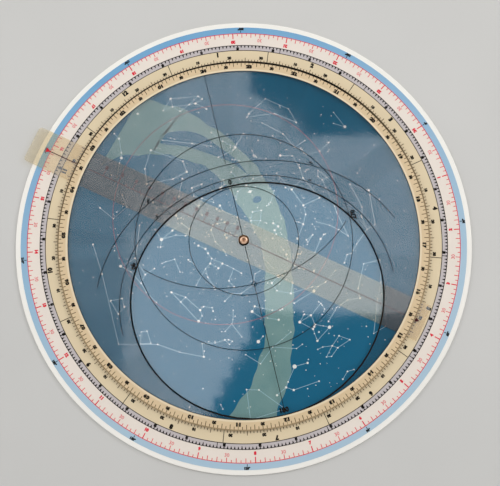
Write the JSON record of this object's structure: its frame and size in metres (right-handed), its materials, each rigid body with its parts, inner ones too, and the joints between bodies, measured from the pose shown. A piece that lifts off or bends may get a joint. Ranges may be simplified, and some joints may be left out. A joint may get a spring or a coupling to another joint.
{
  "type": "planisphere",
  "caption": "Rotating star chart: a round printed base with a clear pointer strip and a clear horizon overlay that turn on a central rivet.",
  "frame": {"origin": "on the rivet's axis, in the plane of the back of the base plate", "axes": "+Z along the rivet out of the printed face; +Y is up in the reference picture"},
  "size_m": [0.29, 0.29, 0.0042],
  "materials": {
    "plate_plastic": "smooth white plastic",
    "star_field_print": "printed and laminated",
    "date_print": "printed and laminated",
    "day_print": "printed and laminated",
    "right_ascension_print": "printed and laminated",
    "longitude_print": "printed and laminated",
    "black_ink": "printed ink",
    "red_ink": "printed ink",
    "pointer_plastic": "translucent plastic strip",
    "overlay_plastic": "clear polished plastic",
    "hour_print": "opaque print on clear plastic",
    "mask_print": "transparent tint on clear plastic",
    "washer_metal": "tarnished",
    "rivet_metal": "copper plated, rolled over"
  },
  "bodies": {
    "base": {"base_plate": "plate_plastic", "star_field": "star_field_print", "date_band": "date_print", "day_band": "day_print", "right_ascension_band": "right_ascension_print", "longitude_band": "longitude_print", "star_field_lines": "red_ink", "date_scale": "black_ink", "day_scale": "black_ink", "right_ascension_scale": "red_ink", "longitude_marks": "black_ink", "front_washer": "washer_metal", "rivet": "rivet_metal"},
    "pointer": {"pointer_strip": "pointer_plastic", "pointer_scale": "red_ink"},
    "overlay": {"overlay_disc": "overlay_plastic", "hour_ring": "hour_print", "hour_scale": "black_ink", "horizon_mask": "mask_print", "horizon_line": "black_ink", "twilight_lines": "black_ink", "sky_lines": "black_ink"}
  },
  "joints": [
    {"name": "pointer_turn", "type": "hinge", "parent": "base", "child": "pointer", "pos_m": [0, 0, 0], "axis": [0, 0, 1], "continuous": true},
    {"name": "overlay_turn", "type": "hinge", "parent": "base", "child": "overlay", "pos_m": [0, 0, 0], "axis": [0, 0, 1], "continuous": true}
  ]
}
